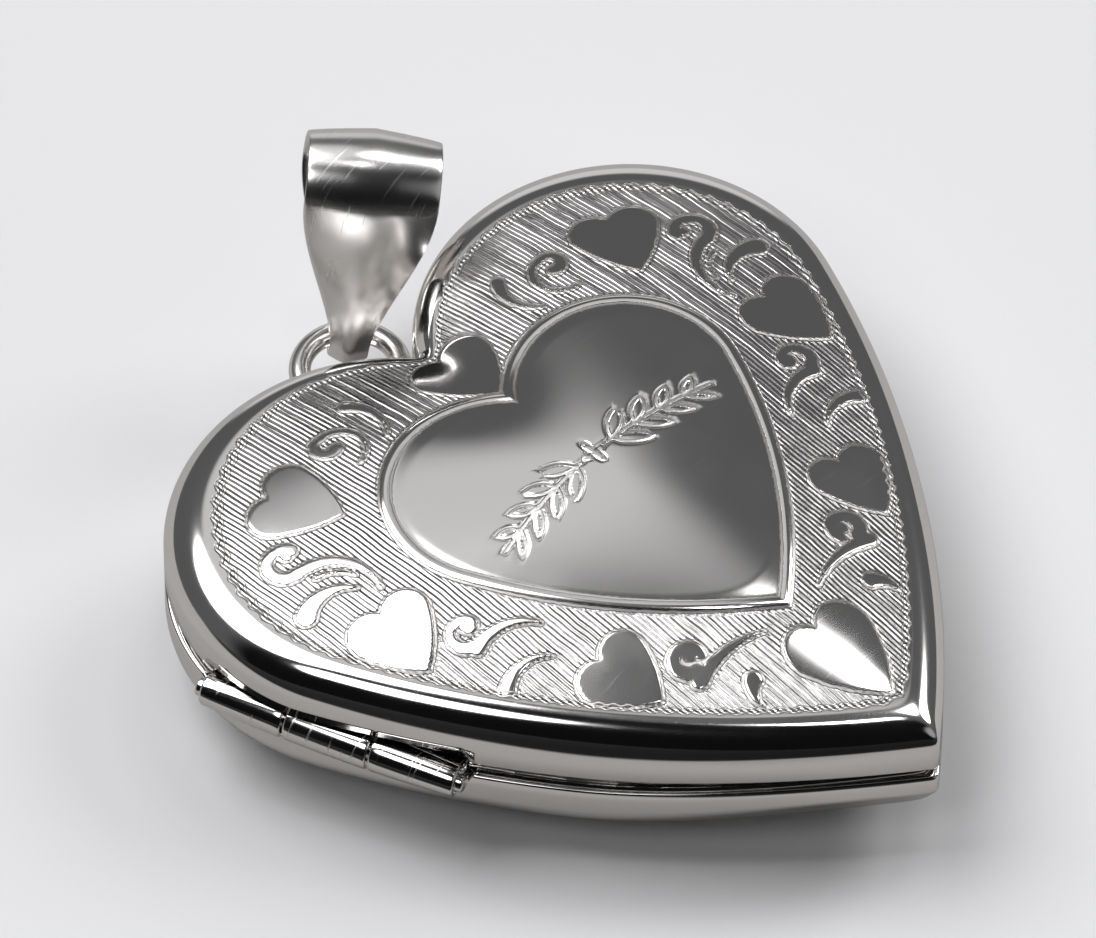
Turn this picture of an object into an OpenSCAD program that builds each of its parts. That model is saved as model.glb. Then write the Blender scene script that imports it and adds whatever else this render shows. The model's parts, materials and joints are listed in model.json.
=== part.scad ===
// Heart locket in sterling silver: two domed halves on a three-knuckle hinge, a photo frame in
// each half, and a tapered bail that swings on a fixed loop at the cleft.
// Millimetres. +X right, +Y towards the bail, +Z out of the engraved front.
// The origin is the centre of the flat on the back, where the closed locket lies.

/* [Heart outline] */
// Half of the distance between the two lobe centres
lobe_x = 4.5; // [4.3:0.1:4.7]
// Radius of each lobe
lobe_r = 5.5; // [5.4:0.1:5.6]
// Where the lobe turns into the long side, degrees below the lobe's centre
lobe_turn = 22.3; // [20:0.5:25]
// Height of the lobe centres above the centre of the back's flat
lobe_y = 3.4; // [3:0.1:3.8]
// Distance from the lobe centres down to the tip
tip_drop = 14.6; // [14:0.1:15]

/* [Centre heart] */
// Half of the distance between the lobe centres of the plain heart in the middle
centre_lobe_x = 2.33; // [2.2:0.01:2.4]
// Lobe radius of the plain heart in the middle
centre_lobe_r = 2.65; // [2.5:0.05:2.8]
// How far its lobe centres lie below those of the outline
centre_drop = 1.9; // [1.8:0.1:2]
// How far its tip lies above the tip of the outline
centre_tip_rise = 5.5; // [5.3:0.1:5.7]

/* [Thickness] */
// Whole thickness of the closed locket
locket_t = 6.0; // [6:0.1:6.4]
// Depth of the rounded back below its edge band
back_depth = 1.5; // [1.4:0.1:1.6]
// Height of the edge band of the back half
back_band = 0.77; // [0.7:0.01:0.8]
// Height of the groove between the two edge bands
groove_h = 0.86; // [0.84:0.01:0.9]
// Height of the edge band of the front half
front_band = 0.87; // [0.8:0.01:0.9]
// How far the middle of the face rises above the edge of the engraved border
face_rise = 1.0; // [0.9:0.05:1.1]
// Width of the rounded shoulder of the front
shoulder_w = 1.05; // [1:0.05:1.1]
// Thickness of the silver sheet
sheet_t = 0.4; // [0.35:0.01:0.4]
// How far the back's edge band rises at the tip, where the groove and the bands grow narrow
tip_lift = 0.75; // [0.5:0.05:0.75]

/* [Inner rims and photos] */
// How far the inner rims stand back from the outline
rim_inset = 0.43; // [0.42:0.01:0.5]
// Thickness of each inner rim
rim_t = 0.63; // [0.6:0.01:0.65]
// How far the photo pocket stands back from the outline
pocket_inset = 1.7; // [1.65:0.05:1.8]
// How far the photo window stands back from the outline
window_inset = 2.4; // [2.3:0.1:2.6]
// Depth of the photo pocket
pocket_depth = 0.48; // [0.46:0.01:0.5]
// Thickness of the photo paper
paper_t = 0.1; // [0.08:0.01:0.1]
// Thickness of the clear cover
cover_t = 0.15; // [0.1:0.01:0.15]
// Thickness of the snap-in photo frame
frame_t = 0.2; // [0.15:0.01:0.2]
// Gap between the two inner rims when the locket is closed
seam_gap = 0.04; // [0.03:0.01:0.06]

/* [Hinge] */
// Length of one hinge knuckle
knuckle_len = 2.28; // [2.2:0.02:2.4]
// Outer radius of the knuckles
knuckle_r = 0.5; // [0.48:0.01:0.52]
// Gap between two knuckles
knuckle_gap = 0.06; // [0.05:0.01:0.1]
// Radius of the hinge pin
pin_r = 0.24; // [0.2:0.01:0.25]
// Radial clearance of the pin in the two outer knuckles
pin_clearance = 0.03; // [0.02:0.01:0.05]
// How far the hinge axis lies outside the chord of the outline
hinge_out = 0.3; // [0.25:0.05:0.35]

/* [Catch] */
// Thickness of the catch tongue
tongue_t = 0.25; // [0.2:0.01:0.25]
// Width of the catch tongue
tongue_w = 2.0; // [1.6:0.1:2.2]
// How far the catch tongue reaches below the seam
tongue_reach = 0.95; // [0.8:0.05:1]
// Clearance all round the tongue in its slot
tongue_clearance = 0.13; // [0.12:0.01:0.15]

/* [Bail and loop] */
// Radius of the loop's wire
loop_wire_r = 0.28; // [0.26:0.01:0.3]
// Radius of the loop, to the middle of its wire
loop_r = 1.29; // [1.25:0.01:1.35]
// Height of the loop above the back's flat
loop_z = 2.2; // [2.15:0.05:2.25]
// Inner radius of the bail where it holds the loop
bail_eye_r = 0.55; // [0.52:0.01:0.6]
// Inner radius of the bail at its top, where the chain runs
bail_top_r = 1.1; // [1:0.05:1.2]
// Distance between the centres of those two bends
bail_len = 4.3; // [4:0.1:4.5]
// Thickness of the bail's strip
bail_t = 0.32; // [0.3:0.01:0.36]
// Width of the bail at its top
bail_top_w = 3.4; // [3:0.1:3.5]
// Width of the bail at the loop
bail_eye_w = 1.0; // [0.9:0.05:1]
// Where the bail sits on the loop, degrees clockwise from the loop's far side
bail_turn = 45; // [40:1:50]
// How far the bail leans away from the heart, degrees from upright
bail_lean = 20; // [18:1:25]
// How far the bail is cocked sideways on the loop, degrees
bail_cock = 8; // [6:1:9]

/* [Hidden] */

// Segments along each lobe and along each long side of the outline
lobe_steps = 20;
side_steps = 12;
ring_size = 2 * (lobe_steps + side_steps);

// A heart is [half lobe distance, lobe radius, turn angle, lobe height, tip height].
outline = [lobe_x, lobe_r, -lobe_turn, lobe_y, lobe_y - tip_drop];
centre = [
    centre_lobe_x, centre_lobe_r, -lobe_turn,
    lobe_y - centre_drop, lobe_y - tip_drop + centre_tip_rise
];
// Inset of the centre heart's edge from the outline, and of the middle of the face
centre_inset = 5.05;
middle_inset = 9;
// The point that the centre heart shrinks towards
middle_y = lobe_y - 3.4;

back_edge_z = back_depth + back_band;
seam_z = back_edge_z + groove_h / 2;
front_edge_z = back_edge_z + groove_h;
front_band_z = front_edge_z + front_band;

// Back dome: a rounded shoulder, then a shallow bowl down to the flat
back_shoulder_w = 1.2;
back_shoulder_h = 0.95;
flat_inset = 4.5;
dome_power = 1.6;

silver = "silver";
barrel_gap = 0.06;
clearance_r = knuckle_r + barrel_gap;
// Shrinks a tight seat a little, so that parts of one half meet without overlapping
seat_gap = 0.01;

// ---- Heart geometry ----
function inset_heart(s) = outline + (centre - outline) * min(s, centre_inset) / centre_inset;
function shrink(s) = s <= centre_inset ? 1 : (middle_inset - s) / (middle_inset - centre_inset);

// Radius and centre of the long side, tangent to the lobe and through the tip
function turn_dir(h) = [cos(h[2]), sin(h[2])];
function tip_from_lobe(h) = [-h[0], h[4] - h[3]];
function side_r(h) =
    let (d = tip_from_lobe(h), k = d * turn_dir(h))
    (d * d - 2 * h[1] * k + h[1] * h[1]) / (2 * h[1] - 2 * k);
function side_centre(h) = [h[0], h[3]] - (side_r(h) - h[1]) * turn_dir(h);

function lobe_point(h, a) = [h[0] + h[1] * cos(a), h[3] + h[1] * sin(a)];
function cleft_angle(h) = 180 - acos(h[0] / h[1]);
function lobe_arc(h) = [
    for (i = [0:lobe_steps]) lobe_point(h, cleft_angle(h) + (h[2] - cleft_angle(h)) * i / lobe_steps)
];
function side_arc(h) =
    let (c = side_centre(h), r = side_r(h), end = atan2(h[4] - c[1], -c[0]))
    [for (i = [1:side_steps]) let (a = h[2] + (end - h[2]) * i / side_steps)
        [c[0] + r * cos(a), c[1] + r * sin(a)]];
function right_half(h) = concat(lobe_arc(h), side_arc(h));
function heart_points(h) =
    let (half = right_half(h), n = len(half))
    concat(half, [for (i = [n - 2:-1:1]) [-half[i][0], half[i][1]]]);

// Points of the heart that lies s inside the outline; past the centre heart it shrinks evenly
function heart_ring(s) =
    let (k = shrink(s))
    [for (p = heart_points(inset_heart(s))) [p[0] * k, middle_y + (p[1] - middle_y) * k]];

// x of the outline's right side at height y
function outline_x(y) =
    y >= lobe_y - lobe_r * sin(lobe_turn)
        ? lobe_x + sqrt(lobe_r * lobe_r - (y - lobe_y) * (y - lobe_y))
        : side_centre(outline)[0] + sqrt(pow(side_r(outline), 2) - pow(y - side_centre(outline)[1], 2));

// ---- Domed sheets: lists of [inset, z] from the middle outwards, then back along the inside ----
function face_z(s) =
    locket_t - face_rise * pow((middle_inset - s) / (middle_inset - shoulder_w), dome_power);
function back_z(s) =
    (back_depth - back_shoulder_h)
    * pow(max(0, flat_inset - s) / (flat_inset - back_shoulder_w), dome_power);

front_outside = concat(
    [for (s = [8, 6.6, centre_inset, 3.8, 2.4]) [s, face_z(s)]],
    [for (a = [90:-18:0]) [
        shoulder_w * (1 - cos(a)),
        front_band_z + (face_z(shoulder_w) - front_band_z) * sin(a)
    ]],
    [[0, front_edge_z]]
);
front_inside = concat(
    [[sheet_t, front_edge_z]],
    [for (a = [0:30:90]) [
        sheet_t + (shoulder_w - sheet_t) * (1 - cos(a)),
        front_band_z + (face_z(shoulder_w) - sheet_t - front_band_z) * sin(a)
    ]],
    [for (s = [2.4, centre_inset, 8]) [s, face_z(s) - sheet_t]]
);
back_outside = concat(
    [for (s = [8, flat_inset, 3.4, 2.2]) [s, back_z(s)]],
    [for (a = [90:-18:0]) [
        back_shoulder_w * (1 - cos(a)),
        back_depth - back_shoulder_h * sin(a)
    ]],
    [[0, back_edge_z]]
);
back_inside = concat(
    [[sheet_t, back_edge_z]],
    [for (a = [0:30:90]) [
        sheet_t + (back_shoulder_w - sheet_t) * (1 - cos(a)),
        back_depth - (back_shoulder_h - sheet_t) * sin(a)
    ]],
    [for (s = [2.4, flat_inset, 8]) [s, back_z(s) + sheet_t]]
);

// Lift of the sheets towards the tip: by height, as a share of tip_lift, and by how far down the
// heart a point lies
lift_start_y = lobe_y - 8;
lift_full_y = lobe_y - 13.8;
function lift_share(z) = lookup(z, [
    [0, 0],
    [back_depth - back_shoulder_h, 0.4],
    [back_depth, 1],
    [back_edge_z, 0.5],
    [front_edge_z, 0.25],
    [front_band_z, 0.35],
    [locket_t - face_rise, 0]
]);
function lift_along(y) =
    let (t = max(0, min(1, (lift_start_y - y) / (lift_start_y - lift_full_y))))
    t * t * (3 - 2 * t);
function lifted(x, y, z) = [x, y, z + tip_lift * lift_share(z) * lift_along(y)];

// A closed sheet through the given [inset, z] stations; flip turns the faces for the back
module domed_sheet(stations, flip) {
    n = ring_size;
    last = len(stations) - 1;
    points = concat(
        [for (st = stations) for (p = heart_ring(st[0])) lifted(p[0], p[1], st[1])],
        [[0, middle_y, stations[0][1]], [0, middle_y, stations[last][1]]]
    );
    side_faces = [
        for (k = [0:last - 1]) for (i = [0:n - 1])
            let (j = (i + 1) % n, a = k * n + i, b = k * n + j, c = a + n, d = b + n)
            each [[a, b, d], [a, d, c]]
    ];
    end_faces = [
        for (i = [0:n - 1])
            let (j = (i + 1) % n, first = (last + 1) * n)
            each [[first, j, i], [first + 1, last * n + i, last * n + j]]
    ];
    faces = concat(side_faces, end_faces);
    polyhedron(points, flip ? [for (f = faces) [f[0], f[2], f[1]]] : faces, convexity = 6);
}

// ---- Hinge ----
hinge_len = 3 * knuckle_len + 2 * knuckle_gap;
hinge_top_y = lobe_y + 0.9;
hinge_low_y = lobe_y - 5.85;
hinge_top = [-outline_x(hinge_top_y), hinge_top_y];
hinge_low = [-outline_x(hinge_low_y), hinge_low_y];
hinge_turn = atan2(hinge_low[0] - hinge_top[0], hinge_top[1] - hinge_low[1]);
hinge_mid = (hinge_top + hinge_low) / 2 - hinge_out * [cos(hinge_turn), sin(hinge_turn)];
knuckle_pitch = knuckle_len + knuckle_gap;
// How far each knuckle's foot reaches in from the hinge axis, short of the photo pocket
foot_reach = 1.05;
// How far the pin stands out of the barrel, and the room beyond the barrel's ends
pin_overhang = 0.12;
barrel_end_room = 0.2;

// Local frame of the hinge: +Y along the pin, +X in towards the heart
module at_hinge() {
    translate([hinge_mid[0], hinge_mid[1], seam_z]) rotate([0, 0, hinge_turn]) children();
}

module along_pin(r, y0, y1) {
    translate([0, y0, 0]) rotate([-90, 0, 0]) cylinder(r = r, h = y1 - y0, $fn = 48);
}

// Knuckle number k (-1 lower, 0 middle, 1 upper), side 1 on the front half and -1 on the back
module knuckle(k, side, bore_r) {
    y0 = k * knuckle_pitch - knuckle_len / 2;
    foot_z = side > 0 ? seam_gap / 2 : -groove_h / 2;
    at_hinge() difference() {
        union() {
            along_pin(knuckle_r, y0, y0 + knuckle_len);
            translate([0, y0, foot_z]) cube([foot_reach, knuckle_len, groove_h / 2 - seam_gap / 2]);
        }
        along_pin(bore_r, y0 - 1, y0 + knuckle_len + 1);
    }
}

// Room in a half for its own knuckles' feet, and for the whole hinge barrel
module knuckle_seat(k) {
    y0 = k * knuckle_pitch - knuckle_len / 2 - seat_gap;
    at_hinge() translate([-2, y0, -groove_h])
        cube([2 + foot_reach + seat_gap, knuckle_len + 2 * seat_gap, 2 * groove_h]);
}

module barrel_room() {
    at_hinge() along_pin(clearance_r, -hinge_len / 2 - barrel_end_room, hinge_len / 2 + barrel_end_room);
}

// ---- Flat heart plates ----
module heart_plate(s, z0, z1) {
    translate([0, 0, z0]) linear_extrude(height = z1 - z0) polygon(heart_ring(s));
}

module heart_ring_plate(outer, inner, z0, z1) {
    difference() {
        heart_plate(outer, z0, z1);
        heart_plate(inner, z0 - 1, z1 + 1);
    }
}

// An inner rim with its face at the given height, lying on side dir of it (1 up, -1 down)
module inner_rim(face, dir) {
    back = face + dir * rim_t;
    floor = face + dir * pocket_depth;
    difference() {
        heart_plate(rim_inset, min(face, back), max(face, back));
        heart_plate(window_inset, min(face, back) - 1, max(face, back) + 1);
        heart_plate(pocket_inset, min(face - dir, floor), max(face - dir, floor));
    }
}

front_face = seam_z + seam_gap / 2;
back_face = seam_z - seam_gap / 2;
frame_face = pocket_depth - paper_t - cover_t - frame_t;

// A layer of the photo pocket from depth d to d + t below the rim's face
module photo_layer(face, dir, d, t, hollow) {
    z0 = min(face + dir * d, face + dir * (d + t));
    if (hollow) {
        heart_ring_plate(pocket_inset + 0.02, window_inset, z0, z0 + t);
    } else {
        heart_plate(pocket_inset + 0.02, z0, z0 + t);
    }
}

// ---- Catch, opposite the hinge ----
// How far the tongue stands in from the chord, so that it goes down through the back rim
tongue_inset = 0.5;
slot_h = 4;
module at_catch() {
    translate([-hinge_mid[0], hinge_mid[1], seam_z]) rotate([0, 0, -hinge_turn])
        translate([-hinge_out - tongue_inset, 0, 0]) children();
}

// ---- Bail ----
loop_y = lobe_y + sqrt(pow(lobe_r + loop_r + loop_wire_r, 2) - lobe_x * lobe_x);
// The wedge of solder that fills the cleft below the loop
solder_y = lobe_y + lobe_r * 0.6;
solder_w = lobe_x / 2;
solder_t = 0.26;
bend_steps = 24;

// Outline of a strip bent round a small circle at the origin and a larger one at distance d
function bent_outline(r1, r2, d) =
    let (b = asin((r2 - r1) / d))
    concat(
        [for (i = [0:bend_steps]) let (a = -b + (180 + 2 * b) * i / bend_steps)
            [r2 * cos(a), d + r2 * sin(a)]],
        [for (i = [0:bend_steps]) let (a = 180 + b + (180 - 2 * b) * i / bend_steps)
            [r1 * cos(a), r1 * sin(a)]]
    );

// Local frame of the bail: +Z up its length, +X along its width, origin on the loop's wire
module at_bail() {
    translate([0, loop_y, loop_z]) rotate([0, 0, -bail_turn]) translate([0, loop_r, 0])
        rotate([-bail_lean, 0, 0]) rotate([0, bail_cock, 0]) children();
}

module bail_taper() {
    low = bail_eye_r + bail_t;
    high = bail_len + bail_top_r + bail_t;
    polygon([
        [-bail_eye_w / 2, -low - 1],
        [bail_eye_w / 2, -low - 1],
        [bail_eye_w / 2, 0],
        [bail_top_w / 2, bail_len],
        [bail_top_w / 2, high + 1],
        [-bail_top_w / 2, high + 1],
        [-bail_top_w / 2, bail_len],
        [-bail_eye_w / 2, 0]
    ]);
}

// ---- Sub-parts ----
module back_shell() {
    color(silver) difference() {
        domed_sheet(concat(back_outside, back_inside), true);
        barrel_room();
    }
}

module back_rim() {
    color(silver) difference() {
        inner_rim(back_face, -1);
        barrel_room();
        knuckle_seat(0);
        at_catch() cube([tongue_t + 2 * tongue_clearance, tongue_w + 2 * tongue_clearance, slot_h], center = true);
    }
}

module back_photo() {
    color("white") photo_layer(back_face, -1, pocket_depth - paper_t, paper_t, false);
}

module back_photo_cover() {
    color("lightcyan", 0.4) photo_layer(back_face, -1, pocket_depth - paper_t - cover_t, cover_t, false);
}

module back_photo_frame() {
    color(silver) photo_layer(back_face, -1, frame_face, frame_t, true);
}

module front_shell() {
    color(silver) difference() {
        domed_sheet(concat(front_outside, front_inside), false);
        barrel_room();
    }
}

module front_rim() {
    color(silver) difference() {
        inner_rim(front_face, 1);
        barrel_room();
        knuckle_seat(-1);
        knuckle_seat(1);
    }
}

module front_photo() {
    color("white") photo_layer(front_face, 1, pocket_depth - paper_t, paper_t, false);
}

module front_photo_cover() {
    color("lightcyan", 0.4) photo_layer(front_face, 1, pocket_depth - paper_t - cover_t, cover_t, false);
}

module front_photo_frame() {
    color(silver) photo_layer(front_face, 1, frame_face, frame_t, true);
}

module hinge_knuckle_upper() {
    color(silver) knuckle(1, 1, pin_r + pin_clearance);
}

module hinge_knuckle_middle() {
    color(silver) knuckle(0, -1, pin_r);
}

module hinge_knuckle_lower() {
    color(silver) knuckle(-1, 1, pin_r + pin_clearance);
}

module hinge_pin() {
    color("gainsboro") at_hinge() along_pin(pin_r, -hinge_len / 2 - pin_overhang, hinge_len / 2 + pin_overhang);
}

module catch_tongue() {
    color(silver) at_catch() translate([-tongue_t / 2, -tongue_w / 2, seam_gap / 2 - tongue_reach])
        cube([tongue_t, tongue_w, tongue_reach]);
}

module bail_loop() {
    color(silver) union() {
        translate([0, loop_y, loop_z]) rotate_extrude($fn = 64)
            translate([loop_r, 0]) circle(loop_wire_r, $fn = 32);
        difference() {
            translate([-solder_w / 2, solder_y, loop_z - solder_t / 2 - 0.06])
                cube([solder_w, loop_y - loop_r - solder_y, solder_t]);
            for (side = [-1, 1])
                translate([side * lobe_x, lobe_y, 0])
                    cylinder(r = lobe_r + seat_gap, h = locket_t, $fn = 128);
        }
    }
}

module bail() {
    color(silver) at_bail() intersection() {
        rotate([90, 0, 90]) linear_extrude(height = bail_top_w + 1, center = true) difference() {
            polygon(bent_outline(bail_eye_r + bail_t, bail_top_r + bail_t, bail_len));
            polygon(bent_outline(bail_eye_r, bail_top_r, bail_len));
        }
        rotate([90, 0, 0]) linear_extrude(height = bail_len * 2, center = true) bail_taper();
    }
}

back_shell();
back_rim();
back_photo();
back_photo_cover();
back_photo_frame();
front_shell();
front_rim();
front_photo();
front_photo_cover();
front_photo_frame();
hinge_knuckle_upper();
hinge_knuckle_middle();
hinge_knuckle_lower();
hinge_pin();
catch_tongue();
bail_loop();
bail();
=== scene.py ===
"""A sterling silver heart locket: engraved front, plain back, side hinge, photo frames and bail."""
import json
import math

import bpy
import numpy as np
from mathutils import Matrix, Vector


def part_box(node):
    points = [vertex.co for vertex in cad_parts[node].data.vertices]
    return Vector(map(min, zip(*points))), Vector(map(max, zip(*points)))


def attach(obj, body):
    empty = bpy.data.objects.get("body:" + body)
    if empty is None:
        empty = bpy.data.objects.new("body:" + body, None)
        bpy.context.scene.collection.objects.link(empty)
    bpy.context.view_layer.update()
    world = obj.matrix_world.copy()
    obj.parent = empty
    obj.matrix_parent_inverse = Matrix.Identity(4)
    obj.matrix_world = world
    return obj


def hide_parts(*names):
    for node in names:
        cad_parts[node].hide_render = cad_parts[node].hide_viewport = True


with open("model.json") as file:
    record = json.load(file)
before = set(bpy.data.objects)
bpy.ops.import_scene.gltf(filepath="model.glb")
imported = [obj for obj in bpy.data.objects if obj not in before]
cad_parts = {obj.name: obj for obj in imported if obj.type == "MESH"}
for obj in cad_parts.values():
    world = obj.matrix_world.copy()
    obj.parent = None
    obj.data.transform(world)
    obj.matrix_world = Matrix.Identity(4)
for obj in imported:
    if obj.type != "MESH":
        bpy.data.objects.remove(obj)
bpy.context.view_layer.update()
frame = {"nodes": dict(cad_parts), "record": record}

MM = 0.001  # one millimetre in metres; every size below is in millimetres
RIGHT, UP = np.array([1.0, 0.0, 0.0]), np.array([0.0, 0.0, 1.0])


def box_mm(node):
    """Lowest and highest corner of a CAD node, in millimetres."""
    low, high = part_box(node)
    return np.array(low) / MM, np.array(high) / MM


# ---------------------------------------------------------------- sizes from the frame
front_low, front_high = box_mm("front_shell")
back_low, back_high = box_mm("back_shell")
HALF_WIDTH = front_high[0]
LOBE_R = 0.55 * HALF_WIDTH
LOBE_X = HALF_WIDTH - LOBE_R
LOBE_Y = front_high[1] - LOBE_R
TIP_Y = front_low[1]
LOBE_TURN = math.radians(-22.3)  # where a lobe's circle passes into the long side
FACE_TOP = front_high[2]
FRONT_EDGE = front_low[2]
BACK_EDGE = back_high[2]
SEAM = (FRONT_EDGE + BACK_EDGE) / 2
FRONT_BAND_TOP = FRONT_EDGE + 0.87
BACK_BAND_LOW = BACK_EDGE - 0.77
SHEET = 0.4
EDGE_ROUND = 0.06

# The front's face: the engraved zone, the plain heart in the middle, and the point the rings close on
CENTRE_Y = LOBE_Y - 1.9
CENTRE_HALF = 4.98
CENTRE_INSET = 5.05
MIDDLE_INSET = 9.0
MIDDLE_Y = LOBE_Y - 3.4
ZONE_INSET = 1.05
FACE_RISE = 1.0

# How far the bands rise towards the tip, and where along the heart, measured down from the lobes
TIP_LIFT = 0.75
LIFT_START = 8.0
LIFT_FULL = 13.8

# Hinge axis and bail pivot, from the record's joints
joints = {joint["name"]: joint for joint in frame["record"]["behaviour"]["joints"]}
HINGE_MID = np.array(joints["lid_hinge"]["pos_m"]) / MM
HINGE_DIR = -np.array(joints["lid_hinge"]["axis"])
BAIL_PIVOT = np.array(joints["bail_swing"]["pos_m"]) / MM
BAIL_TANGENT = np.array([math.cos(math.pi / 4), -math.sin(math.pi / 4), 0.0])
KNUCKLE_LENGTH = 2.28
KNUCKLE_GAP = 0.06
KNUCKLE_PITCH = KNUCKLE_LENGTH + KNUCKLE_GAP
BARREL_HALF = 1.5 * KNUCKLE_PITCH
BARREL_ROOM = 0.56


# ---------------------------------------------------------------- meshes
def make_piece(name, vertices, faces, body, slot, smooth=True):
    """A mesh piece from vertices in millimetres, riding on a body. Its slot is not used."""
    mesh = bpy.data.meshes.new(name)
    mesh.from_pydata((np.asarray(vertices) * MM).tolist(), [], list(faces))
    mesh.update()
    mesh.polygons.foreach_set("use_smooth", [smooth] * len(mesh.polygons))
    piece = bpy.data.objects.new(name, mesh)
    bpy.context.scene.collection.objects.link(piece)
    if body:
        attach(piece, body)
    return piece


def grid_faces(rows, columns, close_rows=False):
    """Quads of a rows by columns grid of vertices. Each row is wrapped round, and the last row is
    joined to the first if close_rows."""
    r = np.arange(rows if close_rows else rows - 1)[:, None]
    c = np.arange(columns)[None, :]
    r2, c2 = (r + 1) % rows, (c + 1) % columns
    quads = np.stack([r * columns + c, r * columns + c2, r2 * columns + c2, r2 * columns + c], -1)
    return quads.reshape(-1, 4)


def capped(points, faces, count, ends):
    """Closes the first and the last ring of count points, each with a fan to one of two ends."""
    first, last = len(points), len(points) - count
    i = np.arange(count)
    j = (i + 1) % count
    faces += np.stack([np.full(count, first), j, i], 1).tolist()
    faces += np.stack([np.full(count, first + 1), last + i, last + j], 1).tolist()
    return np.concatenate([points, ends]), faces


def ease(value, low, high):
    """0 below low, 1 above high, and a smooth step between."""
    t = np.clip((value - low) / (high - low), 0.0, 1.0)
    return t * t * (3 - 2 * t)


# ---------------------------------------------------------------- the heart
def side_circle(lobe_x, lobe_r, turn, lobe_y, tip_y):
    """Centre and radius of the long side: tangent to the lobe where it turns, and through the tip."""
    out = np.array([math.cos(turn), math.sin(turn)])
    drop = np.array([-lobe_x, tip_y - lobe_y])
    along = drop @ out
    radius = (drop @ drop - 2 * lobe_r * along + lobe_r**2) / (2 * (lobe_r - along))
    return np.array([lobe_x, lobe_y]) - (radius - lobe_r) * out, radius


# A heart, as its lobe's place and radius, the turn, and the heights of its lobes and its tip
OUTLINE = np.array([LOBE_X, LOBE_R, LOBE_TURN, LOBE_Y, TIP_Y])
CENTRE = np.array([2.33, 2.65, LOBE_TURN, CENTRE_Y, TIP_Y + 5.5])

# How round a ring's corners are: at the outline, for each millimetre inwards up to a limit, and
# more as the rings shrink to the middle
CORNER_SOFT = 0.1
INWARD_SOFT = 0.34
INWARD_LIMIT = 3.5
MIDDLE_SOFT = 2.2


def heart_curve(heart, count):
    """Evenly spaced points round a heart, from the cleft over the right lobe to the tip and back."""
    lobe_x, lobe_r, turn, lobe_y, tip_y = heart
    centre, radius = side_circle(*heart)
    a = np.linspace(math.pi - math.acos(lobe_x / lobe_r), turn, 400)
    b = np.linspace(turn, math.atan2(tip_y - centre[1], -centre[0]), 400)[1:]
    half = np.concatenate([
        np.stack([lobe_x + lobe_r * np.cos(a), lobe_y + lobe_r * np.sin(a)], 1),
        centre + radius * np.stack([np.cos(b), np.sin(b)], 1),
    ])
    half[[0, -1], 0] = 0.0
    length = np.concatenate([[0], np.cumsum(np.hypot(*np.diff(half, axis=0).T))])
    even = np.linspace(0, length[-1], count // 2 + 1)
    right = np.stack([np.interp(even, length, half[:, k]) for k in range(2)], 1)
    return np.concatenate([right, right[-2:0:-1] * [-1, 1]])


def soften(ring, sigma):
    """Rounds the corners of a closed curve: a Gaussian of sigma millimetres along its length."""
    wave = np.fft.fft(ring[:, 0] + 1j * ring[:, 1])
    length = np.hypot(*np.diff(ring, axis=0, append=ring[:1]).T).sum()
    turns = np.fft.fftfreq(len(ring), 1 / len(ring))
    wave = np.fft.ifft(wave * np.exp(-0.5 * (2 * math.pi * turns * sigma / length) ** 2))
    return np.stack([wave.real, wave.imag], 1)


def heart_ring(inset, count):
    """The heart that lies inset inside the outline. Past the centre heart it shrinks to a point,
    and its corners are rounder the further in it lies, so that the dome has no crease."""
    part = min(inset, CENTRE_INSET) / CENTRE_INSET
    shrink = 1.0
    if inset > CENTRE_INSET:
        shrink = (MIDDLE_INSET - inset) / (MIDDLE_INSET - CENTRE_INSET)
    ring = heart_curve(OUTLINE * (1 - part) + CENTRE * part, count)
    ring = (ring - [0, MIDDLE_Y]) * shrink + [0, MIDDLE_Y]
    sigma = CORNER_SOFT + INWARD_SOFT * min(inset, INWARD_LIMIT) + MIDDLE_SOFT * (1 - shrink)
    return soften(ring, sigma * shrink)


def heart_sheet(stations, count, closed=False):
    """Vertices and faces of a surface through [inset, z] stations, carried round the heart.
    An open one runs from the middle to the middle, and both ends are closed with a fan."""
    rings = np.stack([heart_ring(s, count) for s, _ in stations])
    heights = np.repeat(np.array([z for _, z in stations])[:, None], count, 1)
    points = np.concatenate([rings, heights[..., None]], -1).reshape(-1, 3)
    faces = grid_faces(len(stations), count, close_rows=closed).tolist()
    if not closed:
        ends = [[0, MIDDLE_Y, stations[0][1]], [0, MIDDLE_Y, stations[-1][1]]]
        return capped(points, faces, count, ends)
    return points, faces


# ---------------------------------------------------------------- engraved pattern
# Small hearts, as lobe height and side position, tilt, half width and stretch; y from the lobes
HEARTS = [
    (0.0, 1.97, 0, 1.15, 1.0),
    (6.06, 2.06, -23, 1.16, 1.0),
    (7.05, -2.6, 9, 1.14, 1.0),
    (4.3, -7.53, -8, 1.08, 1.0),
    (0.0, -10.86, 0, 1.22, 1.2),
]
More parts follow.
